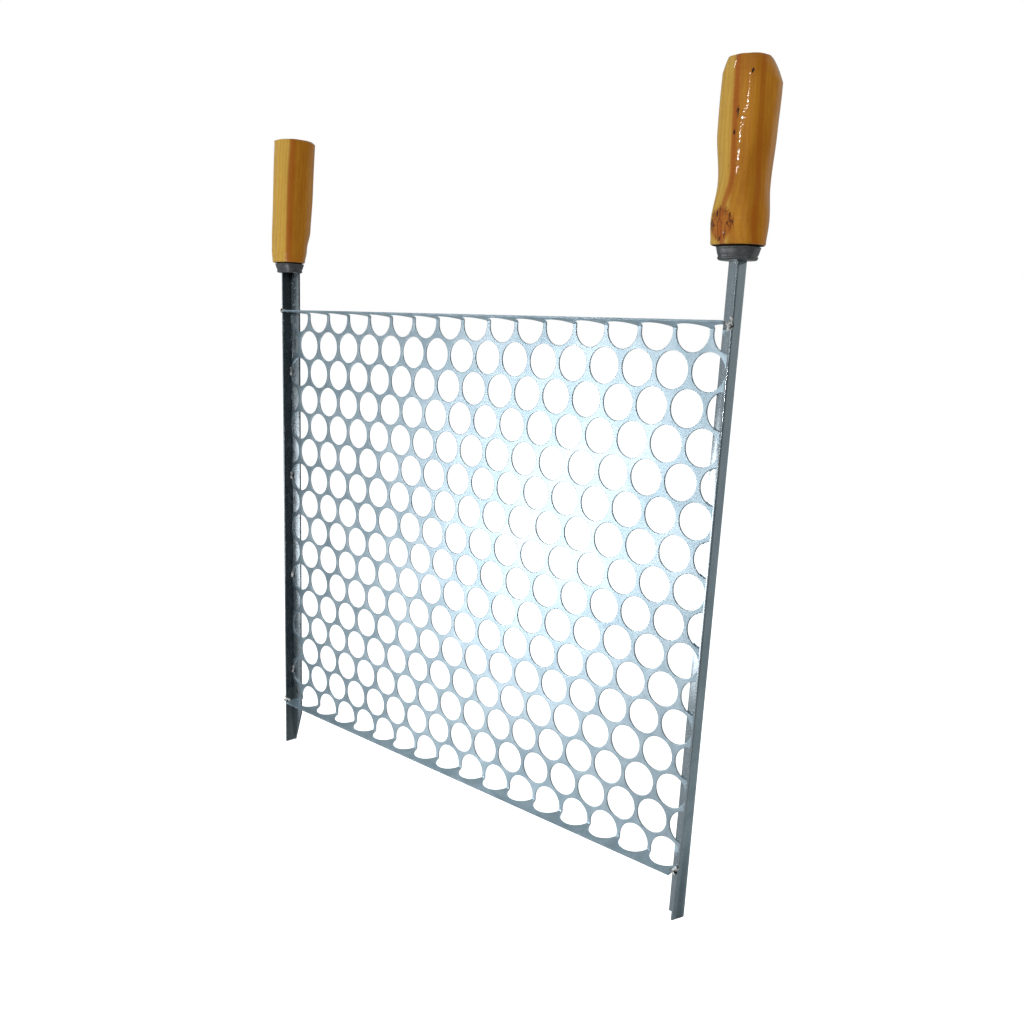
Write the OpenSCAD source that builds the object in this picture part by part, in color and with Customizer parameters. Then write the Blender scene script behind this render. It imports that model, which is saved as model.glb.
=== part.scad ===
// Flat barbecue grate: a punched sheet with two folded lips, welded between two
// steel angles that stand on their tips and end in wooden hand grips.
// X runs across the grate, +Y points to its back and +Z up. The origin lies
// midway between the two rails, at the height of the lower foot tip and in the
// plane of the grips' axes.

/* [Hole pattern] */
// Diameter of each punched hole
hole_d = 24.4; // [18:0.2:26]
// Narrowest metal between two holes
web = 2.8; // [2:0.2:6]
// Whole holes in each row
holes_across = 16; // [6:1:20]
// Rows of whole holes between the two folds
full_rows = 14; // [4:2:20]
// Metal between the left edge and the closed rows
left_web = 0.6; // [0.4:0.1:3]
// Metal between the right edge and the other rows
right_web = 4.8; // [1:0.2:6]

/* [Folded sheet] */
// Thickness of the sheet
sheet_t = 1.2; // [0.8:0.1:2]
// Distance from the centres of the first and last rows to the folds
fold_past_hole = 2.8; // [2:0.2:5]
// Inner radius of the folds
fold_r = 1; // [0.5:0.1:2]
// Depth of each lip, measured along it from the fold
lip_depth = 14.5; // [14:0.1:24]
// Angle that the upper lip is folded through
top_fold_angle = 78; // [60:1:90]
// Angle that the lower lip is folded through
bottom_fold_angle = 80; // [60:1:90]
// Set-back of the lips from the sheet's left edge
lip_left_gap = 8; // [2:0.5:14]
// Set-back of the lips from the sheet's right edge
lip_right_gap = 4; // [2:0.5:12]

/* [Rails] */
// Width of the steel angle's inner leg, which the sheet lies on
angle_w = 12; // [10:0.5:16]
// Depth of its outer leg, front to back
angle_d = 11; // [10:0.5:16]
// Thickness of the steel angle
angle_t = 1.6; // [1.2:0.1:3]
// Part of the right rail below the lower fold
foot_h = 42; // [20:1:80]
// Part of the right rail between the upper fold and its ferrule
neck_h = 39.4; // [20:0.2:80]
// How much lower the left rail is welded than the right one
rail_slip = 4.8; // [0:0.2:8]
// Metal trimmed off the right rail's foot tip
foot_trim = 2.4; // [0:0.2:4]
// Height of the slanted cut on the left rail's inner leg at its foot
foot_cut_h = 30; // [10:1:35]
// Width left of that leg at the tip
foot_tip_w = 2.5; // [2:0.5:9]

/* [Grips] */
// Length of the left grip's visible wood
left_grip_len = 98; // [85:1:140]
// Length of the right grip's visible wood
right_grip_len = 102; // [85:1:140]
// Widest half-width of the wood, across the grate
grip_half_w = 16.6; // [15:0.1:20]
// Widest half-depth of the wood, front to back
grip_half_d = 16; // [14:0.1:19]
// Distance from a rail's outer face to the grip's axis
grip_inset = 4; // [3:0.1:5]
// Distance from the middle of a rail's depth back to the grip's axis
grip_set_back = 0.2; // [0:0.1:1.5]
// Lean of the left grip towards the middle, in degrees
left_grip_lean = 4.5; // [0:0.5:5]
// Height of the left grip's rounded end
left_end_h = 4; // [2:0.5:20]
// How far the left grip's end narrows on each side
left_end_in = 3; // [1:0.2:8]
// Height of the right grip's chamfered end
right_end_h = 12.5; // [2:0.5:20]
// How far the right grip's end narrows on each side
right_end_in = 5.6; // [1:0.2:8]
// Length of the rail's tang inside the wood
tang_len = 55; // [30:1:70]
// Width of each leg of the tang
tang_leg = 8; // [6:0.5:9]
// Metal ground off the tang's outer faces, so that it slides into the ferrule
tang_relief = 0.2; // [0.1:0.1:0.5]

/* [Ferrules] */
// Visible height of a ferrule
ferrule_h = 7.6; // [6:0.2:14]
// Thickness of a ferrule's floor
ferrule_floor = 1.8; // [1.2:0.1:3]
// Shadow gap between ferrule and wood
ferrule_gap = 0.8; // [0.4:0.1:2]

/* [Hidden] */
$fn = 64;

// Punching pattern: each row is set half a pitch from the next.
hole_r = hole_d / 2;
pitch = hole_d + web;
row_step = pitch * sin(60);
fold_rows = full_rows + 1;
sheet_w = left_web + right_web + hole_d + (holes_across - 0.5) * pitch;
half_w = sheet_w / 2;
sheet_h = 2 * fold_past_hole + fold_rows * row_step;
low_fold_z = rail_slip + foot_h;
high_fold_z = low_fold_z + sheet_h;

// Depths: the sheet lies on the front of the rails' inner legs.
rail_back = angle_d / 2 - grip_set_back;
rail_front = rail_back - angle_d;
sheet_back = rail_back - angle_t;
sheet_front = sheet_back - sheet_t;
rail_outer = half_w + angle_t;

// A fold's outer radius, and the sheet it takes up on either side of the fold line.
fold_outer_r = fold_r + sheet_t;
top_take_up = fold_r * tan(top_fold_angle / 2);
bottom_take_up = fold_r * tan(bottom_fold_angle / 2);

// Grips and ferrules, measured from their own rail's foot tip.
seat_z = foot_h + sheet_h + neck_h;
wood_z = seat_z + ferrule_h + ferrule_gap;
grip_x = rail_outer - grip_inset;
wood_squareness = 2.3;
ferrule_squareness = 3;
section_sides = 32;
body_rings = 12;
end_rings = 4;
fold_facets = 6;
slide_fit = 0.1;
over = 1;

// Share of the full half-width and half-depth that the wood has at some shares of
// its length: a waist seen from the front, a taper to the ferrule from the side.
grip_keys = [
  [0, 1, 0.72], [0.13, 0.99, 0.86], [0.33, 0.76, 1], [0.66, 0.94, 0.99], [1, 0.98, 0.95]
];
end_curve = 1.4;

// Ferrule half-widths and half-depths at its foot and at its rim.
ferrule_foot = [11.2, 7.5];
ferrule_rim = [12.9, 10.2];
ferrule_wall = 1.1;
bead_h = 1.6;
bead_out = 0.4;

// Weld beads.
corner_bead_r = 1.9;
weld_stand_off = 0.4;
bead_reach = sheet_front - rail_front + weld_stand_off;
top_bead_rise = bead_reach / tan(top_fold_angle) + sheet_t / 2;
bottom_bead_drop = bead_reach / tan(bottom_fold_angle) + sheet_t / 2;
tack_bead_r = 1.7;
tack_len = 7;
tack_every = 4;

function row_z(k) = low_fold_z + fold_past_hole + k * row_step;
function row_shift(k) = (k % 2 == 0) ? -pitch / 2 : 0;
function hole_x(k, i) = -half_w + left_web + hole_r + row_shift(k) + i * pitch;

// Smooth step between two neighbouring keys of a contour.
function ease(t) = (1 - cos(180 * t)) / 2;
function key_at(u, i = 0) = (u <= grip_keys[i + 1][0] || i + 2 >= len(grip_keys))
  ? i : key_at(u, i + 1);
function share(u, axis) =
  let (i = key_at(u), a = grip_keys[i], b = grip_keys[i + 1],
       t = min(1, (u - a[0]) / (b[0] - a[0])))
  a[axis] + (b[axis] - a[axis]) * ease(t);

// Points of a rounded-square ring [z, half_x, half_y, shift_x].
function power(v, squareness) = sign(v) * pow(abs(v), 2 / squareness);
function ring(r, squareness) = [
  for (s = [0:section_sides - 1])
    let (a = 360 * s / section_sides)
    [r[1] * power(cos(a), squareness) + r[3], r[2] * power(sin(a), squareness), r[0]]
];

// Solid through a list of such rings, lowest first.
module loft(rings, squareness) {
  n = section_sides;
  last = len(rings) - 1;
  points = [for (r = rings) each ring(r, squareness)];
  sides = [
    for (k = [0:last - 1], s = [0:n - 1])
      let (a = k * n + s, b = k * n + (s + 1) % n)
      each [[a, b + n, b], [a, a + n, b + n]]
  ];
  bottom_face = [for (s = [0:n - 1]) s];
  top_face = [for (s = [1:n]) last * n + n - s];
  polyhedron(points, concat(sides, [bottom_face, top_face]));
}

// One row of hole punches through the sheet, along +Y.
module row_punch(k) {
  for (i = [0:holes_across])
    translate([hole_x(k, i), sheet_back + over, 0])
      rotate([90, 0, 0]) cylinder(h = sheet_t + 2 * over, r = hole_r);
}

// Outline of the folded sheet seen from its end, as [y, z] points: up the back
// face and round the upper lip, then down the front face and round the lower lip.
function arc_points(fold_z, way, take_up, r, from, to) = [
  for (i = [0:fold_facets])
    let (a = from + (to - from) * i / fold_facets)
    [sheet_front - fold_r + r * cos(a), fold_z + way * (r * sin(a) - take_up)]
];
function lip_tip(fold_z, way, angle, take_up, r) = [
  sheet_front - fold_r + r * cos(angle) - (lip_depth - take_up) * sin(angle),
  fold_z + way * (r * sin(angle) + (lip_depth - take_up) * cos(angle) - take_up)
];
sheet_outline = concat(
  [lip_tip(low_fold_z, -1, bottom_fold_angle, bottom_take_up, fold_outer_r)],
  arc_points(low_fold_z, -1, bottom_take_up, fold_outer_r, bottom_fold_angle, 0),
  arc_points(high_fold_z, 1, top_take_up, fold_outer_r, 0, top_fold_angle),
  [lip_tip(high_fold_z, 1, top_fold_angle, top_take_up, fold_outer_r)],
  [lip_tip(high_fold_z, 1, top_fold_angle, top_take_up, fold_r)],
  arc_points(high_fold_z, 1, top_take_up, fold_r, top_fold_angle, 0),
  arc_points(low_fold_z, -1, bottom_take_up, fold_r, 0, bottom_fold_angle),
  [lip_tip(low_fold_z, -1, bottom_fold_angle, bottom_take_up, fold_r)]
);

// The folded sheet before it is punched.
module folded_blank() {
  low = low_fold_z + bottom_take_up;
  high = high_fold_z - top_take_up;
  difference() {
    translate([-half_w, 0, 0]) rotate([90, 0, 90]) linear_extrude(sheet_w)
      polygon(sheet_outline);
    // The lips stop short of the rails.
    for (z = [low - lip_depth, high]) {
      translate([-half_w - over, sheet_back - lip_depth - over, z])
        cube([lip_left_gap + over, lip_depth + 2 * over, lip_depth]);
      translate([half_w - lip_right_gap, sheet_back - lip_depth - over, z])
        cube([lip_right_gap + over, lip_depth + 2 * over, lip_depth]);
    }
  }
}

// Punches of a fold row where it runs on into its lip. The frame is the lip's:
// the fold line is the X axis and the upright sheet leans forward by the angle.
module lip_punch(angle, k) {
  rotate([angle, 0, 0]) translate([0, -sheet_front, -fold_past_hole]) row_punch(k);
}

module perforated_sheet() {
  color([0.66, 0.72, 0.76]) difference() {
    folded_blank();
    for (k = [0:fold_rows]) translate([0, 0, row_z(k)]) row_punch(k);
    translate([0, sheet_front, high_fold_z]) lip_punch(top_fold_angle, fold_rows);
    translate([0, sheet_front, low_fold_z]) mirror([0, 0, 1]) lip_punch(bottom_fold_angle, 0);
  }
}

// Right-hand angle section, its corner at the outer back.
module angle_section() {
  translate([rail_outer - angle_w, rail_back - angle_t]) square([angle_w, angle_t]);
  translate([rail_outer - angle_t, rail_back - angle_d]) square([angle_t, angle_d]);
}

// Section of the tang, or with a clearance all round, of the slot for it.
module tang_section(clear) {
  outer_x = rail_outer - tang_relief + clear;
  outer_y = rail_back - tang_relief + clear;
  leg = tang_leg - tang_relief + 2 * clear;
  t = angle_t - tang_relief + 2 * clear;
  translate([outer_x - leg, outer_y - t]) square([leg, t]);
  translate([outer_x - t, outer_y - leg]) square([t, leg]);
}

// Right-hand rail: foot, long straight run and tang. The ferrule sits on the
// shoulder where the tang begins. A foot has its inner leg cut off slanted, or is
// trimmed straight.
module rail(trim = 0) {
  tang_top = wood_z + tang_len;
  color([0.47, 0.54, 0.58]) difference() {
    union() {
      translate([0, 0, trim]) linear_extrude(seat_z - trim) angle_section();
      translate([0, 0, seat_z - over])
        linear_extrude(tang_top - seat_z + over) tang_section(0);
    }
    if (trim == 0) translate([0, rail_back + over, 0]) rotate([90, 0, 0])
      linear_extrude(angle_t + 2 * over) polygon([
        [rail_outer - angle_w - over, -over],
        [rail_outer - foot_tip_w, -over],
        [rail_outer - foot_tip_w, 0],
        [rail_outer - angle_w, foot_cut_h],
        [rail_outer - angle_w - over, foot_cut_h]
      ]);
  }
}

// Right-hand ferrule: a tapered oval cup with a bead round its foot.
module ferrule() {
  foot = ferrule_foot;
  rim = ferrule_rim;
  in = ferrule_wall;
  color([0.45, 0.46, 0.47]) difference() {
    translate([grip_x, 0, 0]) difference() {
      loft([
        [seat_z, foot[0] + bead_out, foot[1] + bead_out, 0],
        [seat_z + bead_h, foot[0] + bead_out, foot[1] + bead_out, 0],
        [seat_z + bead_h + bead_out, foot[0], foot[1], 0],
        [seat_z + ferrule_h, rim[0], rim[1], 0]
      ], ferrule_squareness);
      loft([
        [seat_z + ferrule_floor, foot[0] - in, foot[1] - in, 0],
        [seat_z + ferrule_h, rim[0] - in, rim[1] - in, 0],
        [seat_z + ferrule_h + over, rim[0] - in, rim[1] - in, 0]
      ], ferrule_squareness);
    }
    translate([0, 0, seat_z - over])
      linear_extrude(ferrule_floor + 2 * over) tang_section(slide_fit);
  }
}

// Right-hand grip: contoured wood, its spigot and the blind slot for the tang.
// The wood leans towards the middle; the spigot and the slot stay upright.
function wood_ring(u, length, lean, narrowing) = [
  wood_z + u * length,
  grip_half_w * share(u, 1) - narrowing,
  grip_half_d * share(u, 2) - narrowing,
  -u * length * tan(lean)
];
module handle(length, lean, end_h, end_in) {
  foot = ferrule_foot;
  rim = ferrule_rim;
  in = ferrule_wall + slide_fit;
  end_u = 1 - end_h / length;
  body = [for (i = [0:body_rings]) wood_ring(end_u * i / body_rings, length, lean, 0)];
  rounded_end = [
    for (i = [1:end_rings])
      let (t = i / end_rings)
      wood_ring(end_u + (1 - end_u) * t, length, lean, end_in * pow(t, end_curve))
  ];
  color([0.82, 0.60, 0.29]) difference() {
    translate([grip_x, 0, 0]) union() {
      loft(concat(body, rounded_end), wood_squareness);
      loft([
        [seat_z + ferrule_floor + slide_fit, foot[0] - in, foot[1] - in, 0],
        [seat_z + ferrule_h, rim[0] - in, rim[1] - in, 0],
        [wood_z + over, rim[0] - in, rim[1] - in, 0]
      ], ferrule_squareness);
    }
    translate([0, 0, seat_z])
      linear_extrude(wood_z + tang_len + slide_fit - seat_z) tang_section(slide_fit);
  }
}

// Places a right-hand piece on the right rail or, mirrored, on the left one.
module on_side(side) {
  if (side > 0) translate([0, 0, rail_slip]) children();
  else mirror([1, 0, 0]) children();
}

module left_rail() { on_side(-1) rail(); }
module right_rail() { on_side(1) rail(foot_trim); }
module left_ferrule() { on_side(-1) ferrule(); }
module right_ferrule() { on_side(1) ferrule(); }
module left_handle() {
  on_side(-1) handle(left_grip_len, left_grip_lean, left_end_h, left_end_in);
}
module right_handle() {
  on_side(1) handle(right_grip_len, 0, right_end_h, right_end_in);
}

// Bead from a lip's end round the front edge of a rail's outer leg.
module corner_weld(side, z) {
  gap = (side > 0) ? lip_right_gap : lip_left_gap;
  reach = gap + angle_t / 2;
  color([0.50, 0.51, 0.51]) difference() {
    translate([side * (half_w - gap), rail_front - weld_stand_off, z]) {
      sphere(corner_bead_r);
      rotate([0, side * 90, 0]) cylinder(h = reach, r = corner_bead_r);
      translate([side * reach, 0, 0]) sphere(corner_bead_r);
    }
    folded_blank();
    on_side(side) rail();
  }
}

module top_left_weld() { corner_weld(-1, high_fold_z + top_bead_rise); }
module top_right_weld() { corner_weld(1, high_fold_z + top_bead_rise); }
module bottom_left_weld() { corner_weld(-1, low_fold_z - bottom_bead_drop); }
module bottom_right_weld() { corner_weld(1, low_fold_z - bottom_bead_drop); }

// Short quarter-round beads in the corner between sheet and outer leg.
module tack_welds(side, first_row) {
  color([0.50, 0.51, 0.51])
    for (k = [first_row:tack_every:full_rows])
      translate([side * half_w, sheet_front, row_z(k) - tack_len / 2])
        intersection() {
          cylinder(h = tack_len, r = tack_bead_r);
          translate([(side > 0) ? -tack_bead_r : 0, -tack_bead_r, 0])
            cube([tack_bead_r, tack_bead_r, tack_len]);
        }
}

module left_tack_welds() { tack_welds(-1, 1); }
module right_tack_welds() { tack_welds(1, 2); }

perforated_sheet();
left_rail();
right_rail();
left_ferrule();
right_ferrule();
left_handle();
right_handle();
top_left_weld();
top_right_weld();
bottom_left_weld();
bottom_right_weld();
left_tack_welds();
right_tack_welds();
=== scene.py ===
"""Looks of a flat barbecue grate: punched zinc-plated sheet, steel angle rails, wooden grips."""
import math
import bmesh
import bpy
from mathutils import Matrix, Vector, noise


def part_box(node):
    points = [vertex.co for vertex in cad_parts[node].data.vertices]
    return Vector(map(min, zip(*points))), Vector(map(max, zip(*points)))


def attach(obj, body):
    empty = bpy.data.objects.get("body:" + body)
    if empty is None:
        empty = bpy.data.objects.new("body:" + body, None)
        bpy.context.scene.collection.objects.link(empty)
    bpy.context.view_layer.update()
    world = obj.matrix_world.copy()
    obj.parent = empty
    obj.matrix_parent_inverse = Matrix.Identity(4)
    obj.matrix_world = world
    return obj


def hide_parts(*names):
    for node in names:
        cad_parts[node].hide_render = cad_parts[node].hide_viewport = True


MM = 0.001
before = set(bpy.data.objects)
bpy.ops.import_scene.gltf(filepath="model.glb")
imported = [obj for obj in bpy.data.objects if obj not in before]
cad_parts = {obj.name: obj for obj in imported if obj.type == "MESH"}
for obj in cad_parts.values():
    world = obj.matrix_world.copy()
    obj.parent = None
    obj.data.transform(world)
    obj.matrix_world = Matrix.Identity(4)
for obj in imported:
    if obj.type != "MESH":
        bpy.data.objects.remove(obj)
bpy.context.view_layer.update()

# ---------------------------------------------------------------- dimensions
# The punched sheet, as the design has it, apart from the twist of the upper lip
# and the place of its right end.
HOLE_R = 12.2 * MM
WEB = 2.8 * MM
PITCH = 2 * HOLE_R + WEB
ROW_STEP = PITCH * math.sin(math.radians(60))
FOLD_ROWS = 15
HOLES_ACROSS = 16
LEFT_WEB = 0.6 * MM
SHEET_T = 1.2 * MM
FOLD_PAST_HOLE = 2.8 * MM
FOLD_R = 1.0 * MM
LIP_DEPTH = 14.5 * MM
LIP_LEFT_GAP = 8.0 * MM
LIP_RIGHT_GAP = 4.0 * MM
TOP_RIGHT_GAP = 2.4 * MM
LOW_FOLD_Z = 46.8 * MM
HIGH_FOLD_Z = LOW_FOLD_Z + 2 * FOLD_PAST_HOLE + FOLD_ROWS * ROW_STEP
LOW_ANGLE = math.radians(80)
HIGH_ANGLE_LEFT = math.radians(83)
HIGH_ANGLE_RIGHT = math.radians(75.5)
CELL_SIDES = 48
FOLD_STEPS = 8
WAVE_HEIGHT = 0.45 * MM
WAVE_FREE = 40 * MM
WAVE_RATE = 9
TACK_EVERY = 4
TACK_LEN = 7 * MM
TACK_LUMPS = 5
TACK_R = 1.45 * MM

# Roll-off at a hole's rim: how far out from the hole and how deep, in rim roundings.
RIM_ROUND = 0.22 * MM
RIM_PROFILE = ((0, 1), (0.3, 0.3), (1, 0), (2.4, 0))

# Rails, ferrules and grips.
ANGLE_T = 1.6 * MM
ANGLE_D = 11.0 * MM
HEEL_ROUND = 1.1 * MM
EDGE_ROUND = 0.28 * MM
FOOT_SPLAY = 2.7 * MM
SPLAY_TOP = 120 * MM
SPLAY_STEPS = 16
LEG_STEPS = 5
# A ferrule's half-width and half-depth at its foot and at its rim.
FERRULE_FOOT = Vector((11.2, 7.5)) * MM
FERRULE_RIM = Vector((12.9, 10.2)) * MM
FERRULE_SQUARENESS = 3.0
OUTLINE_SIDES = 96
WOOD_GAP = 0.8 * MM
WOOD_SQUARENESS = 2.3
SPIGOT_SLACK = 1.3 * MM
LEFT_LEAN = math.radians(4.5)
KNIFE_CUTS = 8
KNIFE_FLATS = 0.22 * MM
HAND_SANDING = 0.30 * MM
TOP_EDGE = 0.6 * MM
# The side on which the upper ends are pared most, in radians round from +X, and the
# share of the length over which this fades out downwards.
PARED_SIDE = 0.5
PARED_SHARE = 0.25
BODY_RINGS = 70
END_RINGS = 8

# Distances below which points are one, and a point is on a face.
MERGE = 1e-6
ON_FACE = 1e-5

sheet_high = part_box("perforated_sheet")[1]
HALF_W = sheet_high[0]
SHEET_BACK = sheet_high[1]
SHEET_FRONT = SHEET_BACK - SHEET_T


# ---------------------------------------------------------------- node helpers
def material(name):
    mat = bpy.data.materials.new(name)
    mat.use_nodes = True
    tree = mat.node_tree
    tree.nodes.clear()
    out = tree.nodes.new("ShaderNodeOutputMaterial")
    shader = tree.nodes.new("ShaderNodeBsdfPrincipled")
    tree.links.new(shader.outputs["BSDF"], out.inputs["Surface"])
    return mat, tree, shader


def feed(tree, socket, value):
    if isinstance(value, bpy.types.NodeSocket):
        tree.links.new(value, socket)
    else:
        socket.default_value = value


def node(tree, kind, inputs=None, **settings):
    made = tree.nodes.new(kind)
    for key, value in settings.items():
        setattr(made, key, value)
    for key, value in (inputs or {}).items():
        feed(tree, made.inputs[key], value)
    return made


def place(tree, scale=(1, 1, 1), rotation=(0, 0, 0), location=(0, 0, 0)):
    """Object coordinates in metres, turned, scaled and moved."""
    coords = node(tree, "ShaderNodeTexCoord")
    mapping = node(tree, "ShaderNodeMapping", {"Vector": coords.outputs["Object"]})
    mapping.inputs["Scale"].default_value = scale
    mapping.inputs["Rotation"].default_value = rotation
    mapping.inputs["Location"].default_value = location
    return mapping.outputs["Vector"]


def grain(tree, vector, scale, detail=3.0, rough=0.5, distortion=0.0):
    made = node(tree, "ShaderNodeTexNoise", {
        "Vector": vector, "Scale": scale, "Detail": detail,
        "Roughness": rough, "Distortion": distortion})
    return made.outputs["Fac"]


def spread(tree, value, low, high, to_low=0.0, to_high=1.0):
    made = node(tree, "ShaderNodeMapRange", {
        "Value": value, "From Min": low, "From Max": high,
        "To Min": to_low, "To Max": to_high}, interpolation_type="SMOOTHSTEP")
    return made.outputs["Result"]


def sums(tree, operation, a, b=0.0, c=None):
    made = node(tree, "ShaderNodeMath", operation=operation)
    feed(tree, made.inputs[0], a)
    feed(tree, made.inputs[1], b)
    if c is not None:
        feed(tree, made.inputs[2], c)
    return made.outputs["Value"]


def blend(tree, amount, a, b):
    made = node(tree, "ShaderNodeMix", data_type="RGBA")
    feed(tree, made.inputs["Factor"], amount)
    feed(tree, made.inputs[6], a)
    feed(tree, made.inputs[7], b)
    return made.outputs[2]


def bump(tree, height, distance, strength=1.0, normal=None):
    made = node(tree, "ShaderNodeBump", {
        "Height": height, "Distance": distance, "Strength": strength})
    if normal is not None:
        feed(tree, made.inputs["Normal"], normal)
    return made.outputs["Normal"]


def rgb(r, g, b):
    return (r, g, b, 1.0)


# ---------------------------------------------------------------- materials
def plated_metal(name, light, dark, rough, along, scratch):
    """Zinc plating: cloudy tone, rolling lines along one axis, dull spots, bright worn edges.

    along is the number of that axis, and scratch the lines' depth in mm. Where the
    mesh's "inside" is 1 the colour is darkened to near black: painted shade on the
    rails' inward-facing faces.
    """
    mat, tree, shader = material(name)
    clouds = grain(tree, place(tree), 22.0, 4.0, 0.6, 0.4)
    patches = grain(tree, place(tree, location=(3.1, 1.7, 0.4)), 95.0, 3.0, 0.65, 0.8)
    squeeze = [900.0, 900.0, 900.0]
    squeeze[along] = 14.0
    lines = grain(tree, place(tree, scale=squeeze), 1.0, 4.0, 0.7)
    specks = grain(tree, place(tree), 1400.0, 2.0, 0.6)
    tone = sums(tree, "MULTIPLY_ADD", clouds, 0.65, sums(tree, "MULTIPLY", patches, 0.35))
    colour = blend(tree, spread(tree, tone, 0.36, 0.66), rgb(*dark), rgb(*light))
    worn = node(tree, "ShaderNodeAttribute", attribute_name="wear").outputs["Fac"]
    colour = blend(tree, sums(tree, "MULTIPLY", worn, 0.35), colour, rgb(0.80, 0.82, 0.84))
    # Painted shade: where "inside" is 1 the colour goes most of the way to near black.
    painted_shade = node(tree, "ShaderNodeAttribute", attribute_name="inside").outputs["Fac"]
    colour = blend(tree, sums(tree, "MULTIPLY", painted_shade, 0.72), colour, rgb(0.020, 0.030, 0.036))
    dull = spread(tree, specks, 0.60, 0.74)
    colour = blend(tree, sums(tree, "MULTIPLY", dull, 0.25), colour, rgb(0.20, 0.23, 0.25))
    feed(tree, shader.inputs["Base Color"], colour)
    roughness = sums(tree, "MULTIPLY_ADD", patches, 0.16, rough - 0.08)
    roughness = sums(tree, "MULTIPLY_ADD", lines, 0.10, roughness)
    feed(tree, shader.inputs["Roughness"], roughness)
    shader.inputs["Metallic"].default_value = 1.0
    shader.inputs["Anisotropic"].default_value = 0.55
    shader.inputs["Anisotropic Rotation"].default_value = 0.25
    tangent = node(tree, "ShaderNodeTangent", direction_type="UV_MAP", uv_map="rolled")
    feed(tree, shader.inputs["Tangent"], tangent.outputs["Tangent"])
    fine = bump(tree, lines, scratch * MM, 1.0)
    feed(tree, shader.inputs["Normal"], bump(tree, patches, 0.05 * MM, 0.8, fine))
    return mat


def weld_metal():
    mat, tree, shader = material("weld_bead")
    lumps = grain(tree, place(tree), 900.0, 4.0, 0.65, 0.5)
    heat = grain(tree, place(tree), 300.0, 3.0, 0.6)
    scale = rgb(0.03, 0.03, 0.035)
    bright = rgb(0.95, 0.95, 0.93)
    colour = blend(tree, spread(tree, heat, 0.38, 0.60), scale, bright)
    feed(tree, shader.inputs["Base Color"], colour)
    feed(tree, shader.inputs["Roughness"], spread(tree, lumps, 0.3, 0.7, 0.20, 0.42))
    shader.inputs["Metallic"].default_value = 0.45
    feed(tree, shader.inputs["Normal"], bump(tree, lumps, 0.25 * MM))
    return mat


def ferrule_plastic():
    mat, tree, shader = material("grey_plastic")
    cloud = grain(tree, place(tree), 160.0, 3.0, 0.6)
    mould = grain(tree, place(tree), 2600.0, 2.0, 0.5)
    scuffs = grain(tree, place(tree, scale=(1, 1, 6)), 420.0, 4.0, 0.7, 1.2)
    dark = rgb(0.036, 0.038, 0.040)
    light = rgb(0.072, 0.074, 0.077)
    colour = blend(tree, spread(tree, cloud, 0.3, 0.7), dark, light)
    mark = spread(tree, scuffs, 0.66, 0.76)
    colour = blend(tree, sums(tree, "MULTIPLY", mark, 0.4), colour, rgb(0.22, 0.22, 0.23))
    feed(tree, shader.inputs["Base Color"], colour)
    feed(tree, shader.inputs["Roughness"], spread(tree, scuffs, 0.3, 0.75, 0.24, 0.40))
    feed(tree, shader.inputs["Normal"], bump(tree, mould, 0.03 * MM))
    return mat


def painted_shade_end_grain():
    """Near-black sawn lower end and spigot of a grip: painted shade in the gap above the ferrule."""
    mat, tree, shader = material("painted_shade_end_grain")
    pores = grain(tree, place(tree), 1500.0, 3.0, 0.6)
    stain = grain(tree, place(tree), 140.0, 3.0, 0.6)
    dark = rgb(0.006, 0.004, 0.003)
    light = rgb(0.022, 0.012, 0.006)
    colour = blend(tree, spread(tree, stain, 0.35, 0.65), dark, light)
    feed(tree, shader.inputs["Base Color"], colour)
    feed(tree, shader.inputs["Roughness"], spread(tree, pores, 0.3, 0.7, 0.7, 0.9))
    shader.inputs["Specular IOR Level"].default_value = 0.1
    feed(tree, shader.inputs["Normal"], bump(tree, pores, 0.05 * MM))
    return mat


def vector_sum(tree, operation, a, b=(0, 0, 0)):
    """Outputs of one sum with vectors: "Vector", or "Value" where it is a number."""
    return node(tree, "ShaderNodeVectorMath", {0: a, 1: b}, operation=operation).outputs


def spot(tree, centre, size):
    """1 at a point, easing to 0 at the ellipsoid of the given half-sizes round it."""
    away = vector_sum(tree, "SUBTRACT", place(tree), centre)["Vector"]
    scaled = vector_sum(tree, "DIVIDE", away, size)["Vector"]
    reach = vector_sum(tree, "LENGTH", scaled)["Value"]
    return spread(tree, reach, 0.0, 1.0, 1.0, 0.0)


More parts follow.
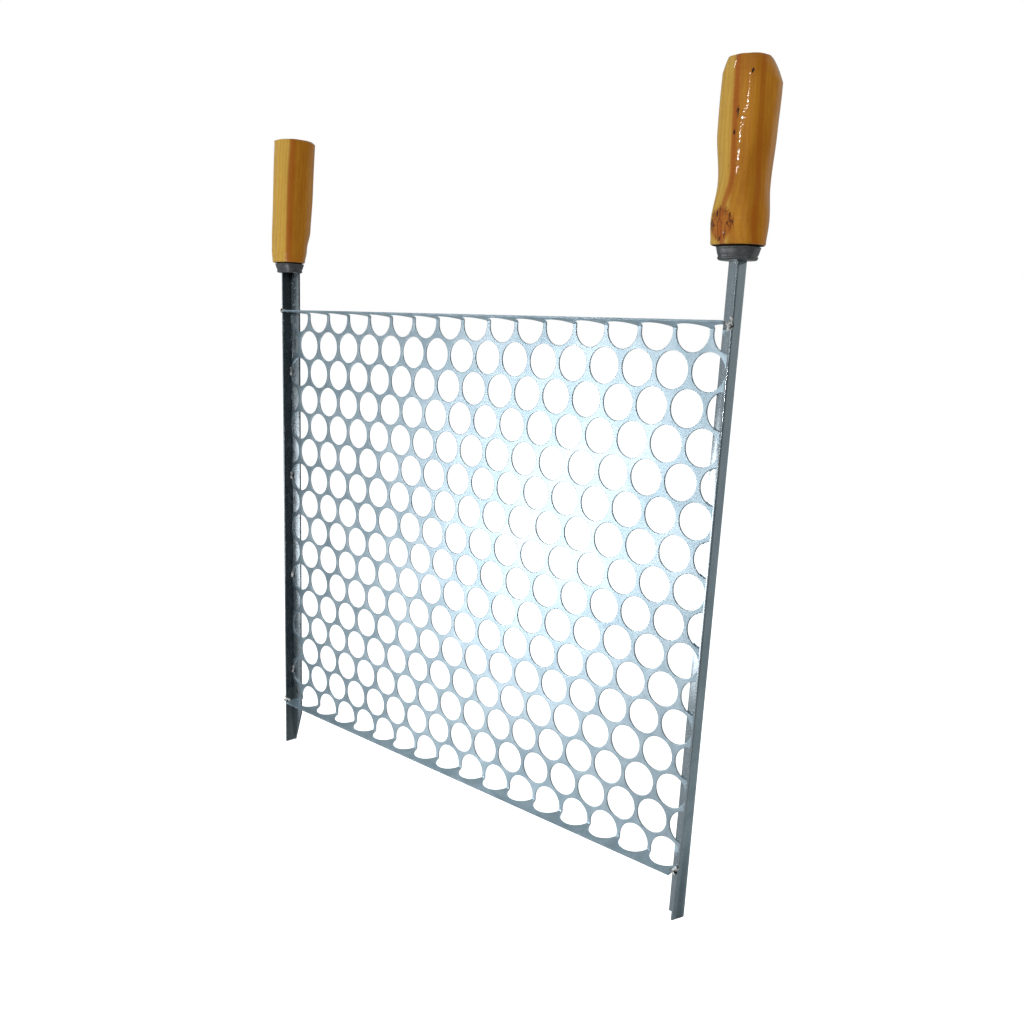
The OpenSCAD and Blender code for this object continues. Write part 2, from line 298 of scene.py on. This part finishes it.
def varnished_pine(name, foot, across, stripe, stripe_width, spacing, sap_edge, knot, cracks):
    """Golden pine under varnish: broad growth stripes, sapwood, fibres, a knot and cracks.

    foot is the middle of the grip's lower end. across is the direction that the
    growth rings follow each other in. stripe and sap_edge, in mm along it, are the
    places of one dark ring and of the edge of the pale sapwood; spacing is the way
    to the next dark ring, and stripe_width is how far from its middle one fades out.
    knot and cracks are places on the surface, from the foot, and half-sizes, in mm.
    """
    mat, tree, shader = material(name)
    foot = Vector(foot)
    drift = grain(tree, place(tree, scale=(1, 1, 0.22)), 38.0, 2.0)
    local = vector_sum(tree, "SUBTRACT", place(tree), foot)["Vector"]
    side = vector_sum(tree, "DOT_PRODUCT", local, across)["Value"]
    ring = sums(tree, "MULTIPLY_ADD", drift, 6 * MM, side)
    ring = sums(tree, "SUBTRACT", ring, 3 * MM)
    near_knot = spot(tree, foot + Vector(knot[0]) * MM, [2.2 * r * MM for r in knot[1]])
    bent = sums(tree, "MULTIPLY_ADD", near_knot, 6 * MM, ring)
    bent = sums(tree, "SUBTRACT", bent, stripe * MM)

    def rings(every, width):
        wave = sums(tree, "PINGPONG", bent, every * MM / 2)
        return spread(tree, wave, width * 0.2 * MM, width * MM, 1.0, 0.0)

    uneven = grain(tree, place(tree, scale=(1, 1, 0.2)), 60.0, 3.0)
    fade = spread(tree, uneven, 0.30, 0.62, 0.65, 1.0)
    broad = sums(tree, "MULTIPLY", rings(spacing, stripe_width), fade)
    fine = sums(tree, "MULTIPLY", rings(2.7, 1.0), 0.22)
    late = sums(tree, "MAXIMUM", broad, fine)
    fibre = grain(tree, place(tree, scale=(1, 1, 0.03)), 2300.0, 3.0, 0.6)
    blotch = grain(tree, place(tree, scale=(1, 1, 0.3)), 90.0, 3.0, 0.6)
    deep = rgb(0.350, 0.132, 0.008)
    golden = rgb(0.445, 0.192, 0.014)
    colour = blend(tree, spread(tree, blotch, 0.3, 0.7), deep, golden)
    sap = spread(tree, ring, (sap_edge - 1.5) * MM, (sap_edge + 1.5) * MM, 0.85, 0.0)
    colour = blend(tree, sap, colour, rgb(0.570, 0.360, 0.060))
    colour = blend(tree, sums(tree, "MULTIPLY", late, 0.9), colour, rgb(0.320, 0.082, 0.0042))
    colour = blend(tree, spread(tree, fibre, 0.42, 0.75, 0.0, 0.40), colour, rgb(0.30, 0.095, 0.007))

    swirl = grain(tree, place(tree, rotation=(0.4, 0.5, 0.3), scale=(1, 1, 0.3)), 420.0, 4.0, 0.7, 1.2)
    heart = spot(tree, foot + Vector(knot[0]) * MM, [r * MM for r in knot[1]])
    heart = spread(tree, sums(tree, "MULTIPLY_ADD", swirl, 0.45, heart), 0.34, 0.62)
    colour = blend(tree, sums(tree, "MULTIPLY", heart, 0.8), colour, rgb(0.340, 0.080, 0.0045))
    burnt = sums(tree, "MULTIPLY", heart, spread(tree, swirl, 0.51, 0.60))
    colour = blend(tree, burnt, colour, rgb(0.045, 0.012, 0.003))
    ragged = grain(tree, place(tree, scale=(1, 1, 0.3)), 1500.0, 3.0, 0.75, 0.6)
    split = sums(tree, "MULTIPLY", burnt, 0.5)
    for centre, size in cracks:
        mark = spot(tree, foot + Vector(centre) * MM, [r * MM for r in size])
        mark = spread(tree, sums(tree, "MULTIPLY_ADD", ragged, 1.6, mark), 1.06, 1.20)
        split = sums(tree, "MAXIMUM", split, mark)
        colour = blend(tree, mark, colour, rgb(0.022, 0.010, 0.005))
    feed(tree, shader.inputs["Base Color"], colour)
    feed(tree, shader.inputs["Roughness"], spread(tree, fibre, 0.3, 0.7, 0.45, 0.58))
    shader.inputs["Specular IOR Level"].default_value = 0.06
    shader.inputs["Coat Weight"].default_value = 0.6
    shader.inputs["Coat Roughness"].default_value = 0.05
    peel = grain(tree, place(tree, scale=(0.18, 0.18, 1)), 480.0, 0.8, 0.5)
    varnish = bump(tree, peel, 0.25 * MM, 0.9)
    grooves = sums(tree, "MULTIPLY_ADD", split, -2.5, sums(tree, "MULTIPLY", late, -0.4))
    relief = bump(tree, grooves, 0.14 * MM, 0.8, varnish)
    feed(tree, shader.inputs["Normal"], bump(tree, fibre, 0.03 * MM, 0.6, relief))
    feed(tree, shader.inputs["Coat Normal"], varnish)
    return mat


# ---------------------------------------------------------------- mesh helpers
def finish_mesh(name, bm, mat, sharp=50):
    """A smooth object with hard edges where faces meet at more than sharp degrees."""
    bmesh.ops.recalc_face_normals(bm, faces=bm.faces)
    mesh = bpy.data.meshes.new(name)
    bm.to_mesh(mesh)
    bm.free()
    for poly in mesh.polygons:
        poly.use_smooth = True
    mesh.set_sharp_from_angle(angle=math.radians(sharp))
    mesh.materials.append(mat)
    obj = bpy.data.objects.new(name, mesh)
    bpy.context.scene.collection.objects.link(obj)
    return obj


def lay_flat(obj, along):
    """UVs whose first axis follows the rolling lines."""
    layer = obj.data.uv_layers.new(name="rolled")
    across = 0 if along == 2 else 2
    for loop in obj.data.loops:
        co = obj.data.vertices[loop.vertex_index].co
        layer.data[loop.index].uv = (co[along], co[across] + 0.37 * co.y)


def stand_for(obj, slot, *nodes):
    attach(obj, "root")
    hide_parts(*nodes)


def loft(bm, rings):
    """Quads between rings of equal length, with end caps."""
    loops = [[bm.verts.new(p) for p in ring] for ring in rings]
    count = len(loops[0])
    for low, high in zip(loops, loops[1:]):
        for i in range(count):
            j = (i + 1) % count
            bm.faces.new((low[i], low[j], high[j], high[i]))
    bm.faces.new(list(reversed(loops[0])))
    bm.faces.new(loops[-1])


# ---------------------------------------------------------------- punched sheet
def cell_ring(centre, radius):
    """Points at equal angles on a circle, or on the hexagon between neighbours if radius is None."""
    points = []
    for i in range(CELL_SIDES):
        angle = 2 * math.pi * i / CELL_SIDES
        reach = radius
        if reach is None:
            off_face = (angle + math.pi / 6) % (math.pi / 3) - math.pi / 6
            reach = PITCH / 2 / math.cos(off_face)
        points.append((centre[0] + reach * math.cos(angle), centre[1] + reach * math.sin(angle)))
    return points


def flat_skin(bm):
    """Front skin of the unfolded sheet, x and z flat and y the roll-off at each hole's rim."""
    for k in range(-1, FOLD_ROWS + 2):
        z = LOW_FOLD_Z + FOLD_PAST_HOLE + k * ROW_STEP
        for i in range(-1, HOLES_ACROSS + 2):
            shift = -PITCH / 2 if k % 2 == 0 else 0.0
            centre = (-HALF_W + LEFT_WEB + HOLE_R + shift + i * PITCH, z)
            border = [bm.verts.new((x, 0, s)) for x, s in cell_ring(centre, None)]
            if 0 <= k <= FOLD_ROWS:
                loops = [
                    [bm.verts.new((x, drop * RIM_ROUND, s))
                     for x, s in cell_ring(centre, HOLE_R + out * RIM_ROUND)]
                    for out, drop in RIM_PROFILE
                ] + [border]
                for a, b in zip(loops, loops[1:]):
                    for p in range(CELL_SIDES):
                        q = (p + 1) % CELL_SIDES
                        bm.faces.new((a[p], a[q], b[q], b[p]))
            else:
                bm.faces.new(border)
    bmesh.ops.remove_doubles(bm, verts=bm.verts, dist=MERGE)


def cut(bm, point, normal, clear=False):
    bmesh.ops.bisect_plane(
        bm, geom=bm.verts[:] + bm.edges[:] + bm.faces[:], dist=1e-7,
        plane_co=point, plane_no=normal, clear_outer=clear)


def fold(x, z, depth):
    """Where a point of the flat sheet goes, depth behind its front face."""
    t = (x + HALF_W) / (2 * HALF_W)
    for fold_z, way, angle in (
            (HIGH_FOLD_Z, 1, HIGH_ANGLE_LEFT + (HIGH_ANGLE_RIGHT - HIGH_ANGLE_LEFT) * t),
            (LOW_FOLD_Z, -1, LOW_ANGLE)):
        take_up = FOLD_R * math.tan(angle / 2)
        past = (z - fold_z) * way
        if past <= -take_up:
            continue
        turned = angle * min(1.0, (past + take_up) / (2 * take_up))
        rest = max(0.0, past - take_up)
        r = FOLD_R + depth
        y = SHEET_FRONT - FOLD_R + r * math.cos(turned) - rest * math.sin(turned)
        up = r * math.sin(turned) + rest * math.cos(turned) - take_up
        return Vector((x, y, fold_z + way * up))
    return Vector((x, SHEET_FRONT + depth, z))


def waviness(x, z):
    """Slight unevenness of the sheet between the rails, none along its edges."""
    from_fold = min(z - LOW_FOLD_Z, HIGH_FOLD_Z - z)
    free = (1 - (x / HALF_W) ** 4) * min(1.0, max(0.0, from_fold / WAVE_FREE))
    return WAVE_HEIGHT * free * noise.noise(Vector((x * WAVE_RATE, 0.7, z * WAVE_RATE)))


def perforated_sheet(mat):
    bm = bmesh.new()
    flat_skin(bm)
    for x, z, normal in (
            (HALF_W, 0, (1, 0, 0)), (-HALF_W, 0, (-1, 0, 0)),
            (0, HIGH_FOLD_Z + LIP_DEPTH, (0, 0, 1)), (0, LOW_FOLD_Z - LIP_DEPTH, (0, 0, -1))):
        cut(bm, (x, 0, z), normal, clear=True)
    for x in (-HALF_W + LIP_LEFT_GAP, HALF_W - LIP_RIGHT_GAP, HALF_W - TOP_RIGHT_GAP):
        cut(bm, (x, 0, 0), (1, 0, 0))
    reach = FOLD_R * math.tan(LOW_ANGLE / 2)
    for fold_z in (LOW_FOLD_Z, HIGH_FOLD_Z):
        for step in range(FOLD_STEPS + 1):
            cut(bm, (0, 0, fold_z + reach * (2 * step / FOLD_STEPS - 1)), (0, 0, 1))
    notches = []
    for face in bm.faces:
        mid = face.calc_center_median()
        right_gap = TOP_RIGHT_GAP if mid.z > HIGH_FOLD_Z - reach else LIP_RIGHT_GAP
        beside = mid.x < -HALF_W + LIP_LEFT_GAP or mid.x > HALF_W - right_gap
        if beside and not LOW_FOLD_Z + reach < mid.z < HIGH_FOLD_Z - reach:
            notches.append(face)
    bmesh.ops.delete(bm, geom=notches, context="FACES")

    # The back skin is the front one's mirror image through the sheet's thickness.
    edge = [e for e in bm.edges if e.is_boundary]
    twin = {v: bm.verts.new((v.co.x, SHEET_T - v.co.y, v.co.z)) for v in bm.verts[:]}
    for face in bm.faces[:]:
        bm.faces.new([twin[v] for v in reversed(face.verts)])
    for e in edge:
        a, b = e.verts
        bm.faces.new((a, b, twin[b], twin[a]))
    wear = bm.verts.layers.float.new("wear")
    for v in bm.verts:
        depth = v.co.y
        near_rim = min(depth, SHEET_T - depth) / RIM_ROUND
        v[wear] = 1.0 if 0.2 < near_rim < 1.2 else 0.0
        ripple = waviness(v.co.x, v.co.z)
        v.co = fold(v.co.x, v.co.z, depth) + Vector((0, ripple, 0))
    obj = finish_mesh("punched_sheet", bm, mat)
    lay_flat(obj, 0)
    stand_for(obj, "plated_sheet", "perforated_sheet")


# ---------------------------------------------------------------- rails
def ease(t):
    t = min(1.0, max(0.0, t))
    return t * t * (3 - 2 * t)


def leg_splay(z, y):
    """Sideways bend of the right rail's outer leg near the foot, most at its front edge."""
    forward = (SHEET_BACK + ANGLE_T - y) / ANGLE_D
    return -FOOT_SPLAY * ease((SPLAY_TOP - z) / SPLAY_TOP) * ease(forward)


def rail(side, mat):
    """The design's own angle with rolled edges; the right one's foot is bent inwards."""
    name = ("left" if side < 0 else "right") + "_rail"
    low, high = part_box(name)
    outer = high[0] if side > 0 else low[0]
    bm = bmesh.new()
    bm.from_mesh(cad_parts[name].data)
    bmesh.ops.remove_doubles(bm, verts=bm.verts, dist=MERGE)
    bmesh.ops.dissolve_limit(bm, angle_limit=math.radians(1), verts=bm.verts, edges=bm.edges)
    heels = [
        e for e in bm.edges
        if all(abs(v.co.x - outer) < ON_FACE and abs(v.co.y - high[1]) < ON_FACE for v in e.verts)
    ]
    bmesh.ops.bevel(bm, geom=heels, offset=HEEL_ROUND, segments=5, profile=0.5, affect="EDGES")
    sharp = [e for e in bm.edges if len(e.link_faces) == 2 and e.calc_face_angle() > math.radians(40)]
    bmesh.ops.bevel(bm, geom=sharp, offset=EDGE_ROUND, segments=2, profile=0.5, affect="EDGES")
    if side > 0:
        for step in range(1, SPLAY_STEPS):
            cut(bm, (0, 0, SPLAY_TOP * step / SPLAY_STEPS), (0, 0, 1))
        for step in range(1, LEG_STEPS):
            cut(bm, (0, high[1] - ANGLE_D * step / LEG_STEPS, 0), (0, 1, 0))
    wear = bm.verts.layers.float.new("wear")
    inside = bm.verts.layers.float.new("inside")
    bm.normal_update()
    for v in bm.verts:
        # Faces turned inwards, towards the sheet, are marked for painted shade in the plating's
        # colour.
        v[inside] = 1.0 if any(f.normal.x * side < -0.9 for f in v.link_faces) else 0.0
        if side > 0:
            v.co.x += leg_splay(v.co.z, v.co.y)
        spread_angle = max(e.calc_face_angle() for e in v.link_edges if len(e.link_faces) == 2)
        v[wear] = 1.0 if spread_angle > math.radians(20) else 0.0
    obj = finish_mesh(name + "_angle", bm, mat, sharp=40)
    lay_flat(obj, 2)
    stand_for(obj, "plated_steel", name)


# ---------------------------------------------------------------- ferrules and grips
def squircle(half_x, half_y, power):
    """Points round an outline between an ellipse and a rectangle, the squarer the higher the power."""
    points = []
    for i in range(OUTLINE_SIDES):
        a = 2 * math.pi * i / OUTLINE_SIDES
        c, s = math.cos(a), math.sin(a)
        x = math.copysign(abs(c) ** (2 / power), c)
        y = math.copysign(abs(s) ** (2 / power), s)
        points.append((half_x * x, half_y * y))
    return points


def ferrule(side, mat):
    name = ("left" if side < 0 else "right") + "_ferrule"
    low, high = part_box(name)
    axis_x = (low[0] + high[0]) / 2
    height = high[2] - low[2]

    def half(t):
        return FERRULE_FOOT + (FERRULE_RIM - FERRULE_FOOT) * t

    # Shares of the height with the mm added to the taper: bead, groove, flare, lip.
    outside = [
        (0.0, -0.5), (0.03, 0.1), (0.10, 0.4), (0.18, 0.42), (0.25, 0.15), (0.29, -0.15),
        (0.34, -0.22), (0.42, -0.05), (0.60, 0.0), (0.80, 0.0), (0.86, -0.12), (0.89, 0.05),
        (0.93, 0.0), (0.985, -0.08), (1.0, -0.35)
    ]
    inside = [(1.0, -0.9), (0.97, -1.1), (0.26, -1.1), (0.24, -1.6)]
    rings = []
    for t, extra in outside + inside:
        size = half(t) + Vector((extra, extra)) * MM
        z = low[2] + t * height
        rings.append([(axis_x + x, y, z) for x, y in squircle(size.x, size.y, FERRULE_SQUARENESS)])
    bm = bmesh.new()
    loft(bm, rings)
    obj = finish_mesh(name + "_cup", bm, mat, sharp=35)
    stand_for(obj, "ferrule_plastic", name)


def smooth_keys(keys, u):
    """Row of values at u between rows that start with their own place, eased at each."""
    for low, high in zip(keys, keys[1:]):
        if u <= high[0]:
            break
    t = min(1.0, (u - low[0]) / (high[0] - low[0]))
    t = (1 - math.cos(math.pi * t)) / 2
    return [a + (b - a) * t for a, b in zip(low[1:], high[1:])]


def grip_foot(name):
    """Middle of the lower end of the grip that sits on this ferrule."""
    low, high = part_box(name)
    return ((low[0] + high[0]) / 2, 0.0, high[2] + WOOD_GAP)


def grip(side, mat, gap_shade_mat, keys, lean, end):
    """Hand-shaped grip with a spigot below it, lean being its slope sideways.

    Each of the keys is a share of the height, the half-width, the half-depth and the
    offsets in X and Y from the middle of the ferrule, in mm.
    end is how the upper end is pared, in mm: over what height, how far in, how much
    more on the right and less on the left, and how much lower it starts on the right
    and higher on the left.
    """
    name = ("left" if side < 0 else "right") + "_handle"
    axis_x, _, base = grip_foot(name.replace("handle", "ferrule"))
    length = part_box(name)[1][2] - base
    end_h, end_in, end_bias, end_skew = (v * MM for v in end)
    body_top = length - end_h

    def outline(z, shrink, bias=0.0):
        half_x, half_y, off_x, off_y = (v * MM for v in smooth_keys(keys, z / length))
        if z < body_top:
            skew = end_skew * max(0.0, 1 - (body_top - z) / (PARED_SHARE * length)) ** 2
        else:
            skew = end_skew * max(0.0, (length - z) / end_h)
        points = []
        for x, y in squircle(half_x, half_y, WOOD_SQUARENESS):
            a = math.atan2(y, x)
            # Flats left by the knife, then a hand-sanded surface.
            flats = KNIFE_FLATS * math.cos(KNIFE_CUTS * a + 0.6 * side)
            at = Vector((3 * math.cos(a), 3 * math.sin(a), z * 32 + 5 * side))
            hand = HAND_SANDING * noise.noise(at)
            right = math.cos(a - PARED_SIDE)
            grow = 1 - (shrink + bias * right - flats - hand) / math.hypot(x, y)
            points.append((
                axis_x + x * grow + off_x + lean * z, y * grow + off_y, base + z - skew * right))
        return points

    # A spigot in the ferrule, as heights in mm and shares of its size, then the wood
    # with a broken lower edge, as heights and how far in, both in mm.
    spigot = squircle(FERRULE_RIM.x - SPIGOT_SLACK, FERRULE_RIM.y - SPIGOT_SLACK, FERRULE_SQUARENESS)
    rings = [
        [(axis_x + x * share, y * share, base + z * MM) for x, y in spigot]
        for z, share in ((-5.6, 0.86), (-1.2, 0.97), (0.0, 1.0))
    ]
    for z, shrink in ((0.0, 0.9), (0.15, 0.5), (0.5, 0.15), (1.0, 0.0)):
        rings.append(outline(z * MM, shrink * MM))
    for i in range(1, BODY_RINGS + 1):
        rings.append(outline(MM + (body_top - MM) * i / BODY_RINGS, 0))
    # The pared end, which goes in faster towards the top, and the rounded edge above
    # it, as shares of the edge's height and how much further in, in mm.
    for i in range(1, END_RINGS + 1):
        t = i / END_RINGS
        share = 0.8 * t + 0.2 * t ** 3
        rings.append(outline(body_top + (end_h - TOP_EDGE) * t, end_in * share, end_bias * share))
    for t, more in ((0.3, 0.12), (0.6, 0.35), (0.85, 0.8), (0.95, 1.5), (1.0, 3.5), (1.0, 7.0)):
        rings.append(outline(length - TOP_EDGE * (1 - t), end_in + more * MM, end_bias))
    bm = bmesh.new()
    loft(bm, rings)
    obj = finish_mesh(name + "_wood", bm, mat, sharp=38)
    # The second material, on faces below the wood's foot, is painted shade for the gap above the
    # ferrule.
    obj.data.materials.append(gap_shade_mat)
    for poly in obj.data.polygons:
        if poly.center.z < base + ON_FACE:
            poly.material_index = 1
    stand_for(obj, "varnished_pine", name)


# ---------------------------------------------------------------- welds
def lump(bm, centre, radii, seed):
    """One frozen drop of weld metal: a ball pressed and dimpled."""
    made = bmesh.ops.create_icosphere(bm, subdivisions=4, radius=1.0)["verts"]
    for v in made:
        swell = noise.noise(v.co * 1.6 + Vector((seed, 0, 0)))
        dimples = noise.noise(v.co * 4.5 + Vector((0, seed, 0)))
        size = 1 + 0.22 * (swell + 0.4 * dimples)
        v.co = Vector(a * b for a, b in zip(v.co * size, radii)) + centre


def corner_weld(name, side, drops, mat, seed):
    """Drops between the lip's end and the front edge of the rail's outer leg.

    Each drop is how far it lies outwards and up from the middle of the bead, and its
    half-sizes, in mm.
    """
    low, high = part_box(name)
    mid = (Vector(low) + Vector(high)) / 2
    if side > 0:
        mid.x += leg_splay(mid.z, mid.y)
    bm = bmesh.new()
    for i, (out, up, size) in enumerate(drops):
        spot_at = Vector((mid.x + side * out * MM, mid.y, mid.z + up * MM))
        lump(bm, spot_at, [r * MM for r in size], seed + 3.1 * i)
    obj = finish_mesh(name + "_bead", bm, mat, sharp=80)
    stand_for(obj, "weld_metal", name)


def tack_welds(side, mat, first_row):
    """Short rippled beads in the corner between the sheet and the rail's outer leg."""
    name = ("left" if side < 0 else "right") + "_tack_welds"
    low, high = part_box(name)
    corner_x = high[0] if side > 0 else low[0]
    bm = bmesh.new()
    for k in range(first_row, FOLD_ROWS, TACK_EVERY):
        z = LOW_FOLD_Z + FOLD_PAST_HOLE + k * ROW_STEP
        for i in range(TACK_LUMPS):
            from_mid = i - TACK_LUMPS // 2
            along = from_mid * TACK_LEN / (TACK_LUMPS + 0.5)
            size = TACK_R - 0.12 * abs(from_mid) * MM
            centre = Vector((corner_x - side * 0.35 * MM, SHEET_FRONT - 0.25 * MM, z + along))
            lump(bm, centre, (size, size, 1.1 * MM), k + 0.7 * i)
    obj = finish_mesh(name + "_beads", bm, mat, sharp=80)
    stand_for(obj, "weld_metal", name)


# ---------------------------------------------------------------- the object
sheet_mat = plated_metal(
    "zinc_sheet", light=(0.60, 0.71, 0.77), dark=(0.41, 0.52, 0.58),
    rough=0.40, along=0, scratch=0.006)
rail_mat = plated_metal(
    "zinc_rail", light=(0.47, 0.56, 0.60), dark=(0.31, 0.39, 0.43),
    rough=0.22, along=2, scratch=0.012)
bead_mat = weld_metal()
cup_mat = ferrule_plastic()
gap_shade_mat = painted_shade_end_grain()

perforated_sheet(sheet_mat)
for side in (-1, 1):
    rail(side, rail_mat)
    ferrule(side, cup_mat)

left_pine = varnished_pine(
    "pine_left", grip_foot("left_ferrule"), across=(0.58, 0.81, -0.045),
    stripe=0.2, stripe_width=4.4, spacing=27.0, sap_edge=-3.0,
    knot=((12, 10, 60), (3, 3, 5)), cracks=[((14, -6, 80), (0.9, 0.9, 3))])
grip(-1, left_pine, gap_shade_mat, [
    (0.00, 16.3, 11.4, 0.0, -1.0),
    (0.11, 16.5, 12.9, 0.1, -0.7),
    (0.28, 16.6, 14.8, 0.8, 0.0),
    (0.60, 16.6, 15.4, 1.1, 0.0),
    (1.00, 16.6, 15.6, 1.1, 0.0)], lean=math.tan(LEFT_LEAN), end=(1.8, 0.5, 0.9, 0.0))
right_pine = varnished_pine(
    "pine_right", grip_foot("right_ferrule"), across=(0.86, 0.51, 0.045),
    stripe=-4.5, stripe_width=2.4, spacing=13.4, sap_edge=-5.8,
    knot=((-6, -14, 11), (13, 13, 14)),
    cracks=[
        ((0.6, -17, 71), (1.5, 3, 7)), ((-0.4, -17, 60), (1.1, 3, 3)),
        ((2.4, -17, 79), (0.9, 3, 2)), ((7, -15, 92), (1.0, 3, 2.5))])
grip(1, right_pine, gap_shade_mat, [
    (0.00, 16.8, 12.6, -0.5, -0.2),
    (0.13, 17.2, 14.0, -0.8, 0.0),
    (0.33, 14.0, 15.6, -0.3, 0.0),
    (0.62, 16.6, 15.6, -1.3, 0.0),
    (0.80, 16.9, 15.6, -1.3, 0.0),
    (1.00, 16.6, 15.6, -1.2, 0.0)], lean=0.0, end=(10.8, 4.3, 2.0, 2.4))

corner_weld("top_left_weld", -1, [
    (4.4, 0.0, (1.6, 1.5, 2.0)), (2.0, 0.2, (2.0, 1.4, 1.2)), (-1.2, 0.3, (2.6, 1.3, 1.0))],
    bead_mat, seed=2)
corner_weld("top_right_weld", 1, [
    (2.2, -0.4, (2.2, 1.7, 2.5)), (2.4, 3.0, (1.0, 0.9, 1.9)), (-0.6, 0.1, (2.2, 1.3, 1.1)),
    (0.9, -2.4, (1.1, 1.1, 1.3))], bead_mat, seed=13)
corner_weld("bottom_left_weld", -1, [
    (4.6, -0.6, (1.7, 1.7, 2.7)), (2.2, 0.2, (2.0, 1.3, 1.2)), (-1.0, 0.2, (2.8, 1.2, 1.0))],
    bead_mat, seed=24)
corner_weld("bottom_right_weld", 1, [
    (-3.4, -0.9, (1.9, 1.4, 1.1)), (-1.4, 0.1, (1.8, 1.6, 1.3)), (0.6, 1.2, (1.7, 1.6, 1.6)),
    (2.0, 2.9, (1.3, 1.3, 1.9)), (0.8, -1.0, (1.5, 1.4, 1.3))], bead_mat, seed=35)
tack_welds(-1, bead_mat, first_row=1)
tack_welds(1, bead_mat, first_row=2)


# ---------------------------------------------------------------- stage, light and camera
WARM = (1.0, 0.97, 0.92)
COOL = (0.95, 0.97, 1.0)


def floor():
    """Pale floor that glows a little and takes the soft shadow.

    It isn't mirrored in the metal and throws no light back on it.
    """
    mat, _, shader = material("pale_floor")
    shader.inputs["Base Color"].default_value = rgb(0.80, 0.80, 0.80)
    shader.inputs["Roughness"].default_value = 0.9
    shader.inputs["Emission Color"].default_value = rgb(1, 1, 1)
    shader.inputs["Emission Strength"].default_value = 0.86
    bm = bmesh.new()
    bmesh.ops.create_grid(bm, x_segments=8, y_segments=8, size=30.0)
    obj = finish_mesh("pale_floor", bm, mat)
    obj.visible_glossy = False
    obj.visible_diffuse = False


def softbox(name, place_at, aim, size, power, colour=(1, 1, 1), mirrored=True):
    """Area lamp that the camera doesn't see, nor the metal unless it is mirrored."""
    data = bpy.data.lights.new(name, "AREA")
    data.shape = "RECTANGLE"
    data.size, data.size_y = size
    data.energy = power
    data.color = colour
    lamp = bpy.data.objects.new(name, data)
    lamp.location = place_at
    lamp.rotation_euler = (Vector(aim) - Vector(place_at)).to_track_quat("-Z", "Y").to_euler()
    lamp.visible_camera = False
    lamp.visible_glossy = mirrored
    bpy.context.scene.collection.objects.link(lamp)


def world_light():
    """White backdrop; the room that lights the grate is grey-blue with one dark side."""
    world = bpy.data.worlds.new("studio")
    bpy.context.scene.world = world
    world.use_nodes = True
    tree = world.node_tree
    tree.nodes.clear()
    way = node(tree, "ShaderNodeTexCoord").outputs["Generated"]
    to_front_left = vector_sum(tree, "DOT_PRODUCT", way, (-0.70, -0.71, 0.0))["Value"]
    to_dark_side = vector_sum(tree, "DOT_PRODUCT", way, (0.96, -0.10, 0.26))["Value"]
    front_left = spread(tree, to_front_left, -0.4, 1.0)
    room = blend(tree, front_left, rgb(0.38, 0.42, 0.43), rgb(0.33, 0.36, 0.38))
    room = blend(tree, spread(tree, to_dark_side, 0.42, 0.64), room, rgb(0.085, 0.095, 0.103))
    seen = node(tree, "ShaderNodeBackground", {"Color": rgb(1, 1, 1), "Strength": 1.0})
    lit = node(tree, "ShaderNodeBackground", {"Color": room, "Strength": 1.0})
    path = node(tree, "ShaderNodeLightPath")
    mix = node(tree, "ShaderNodeMixShader", {
        0: path.outputs["Is Camera Ray"], 1: lit.outputs[0], 2: seen.outputs[0]})
    out = node(tree, "ShaderNodeOutputWorld")
    tree.links.new(mix.outputs[0], out.inputs["Surface"])


def camera():
    azimuth, pitch, roll = (math.radians(a) for a in (41.78, 14.06, 2.67))
    data = bpy.data.cameras.new("camera")
    data.sensor_width = 36.0
    data.lens = 35.82
    data.shift_y = 0.0772
    data.clip_start = 0.01
    cam = bpy.data.objects.new("camera", data)
    turn = Matrix.Rotation(azimuth, 4, "Z") @ Matrix.Rotation(math.pi / 2 - pitch, 4, "X")
    stand = Matrix.Translation((0.5548, -0.5582, 0.3959))
    cam.matrix_world = stand @ turn @ Matrix.Rotation(roll, 4, "Z")
    bpy.context.scene.collection.objects.link(cam)
    bpy.context.scene.camera = cam


floor()
world_light()
softbox("sheen", (-0.295, -0.50, 0.183), (0.08, 0.0, 0.24), (0.28, 0.32), 1.38, COOL)
for name, place_at, aim_height, power in (
        ("key", (-0.9, -1.6, 1.2), 0.35, 12),
        ("fill", (1.5, -1.2, 0.6), 0.45, 17),
        ("back", (1.2, 1.3, 0.9), 0.45, 13)):
    softbox(name, place_at, (0.0, 0.0, aim_height), (1.2, 1.2), power, WARM, mirrored=False)
softbox("glint", (-0.1, -3.0, 1.1), (0.0, 0.0, 0.5), (0.08, 0.08), 5)
softbox("bends", (-0.9, -0.5, 1.45), (0.1, 0.0, 0.45), (0.15, 0.15), 2)
camera()
bpy.context.scene.view_settings.view_transform = "Standard"
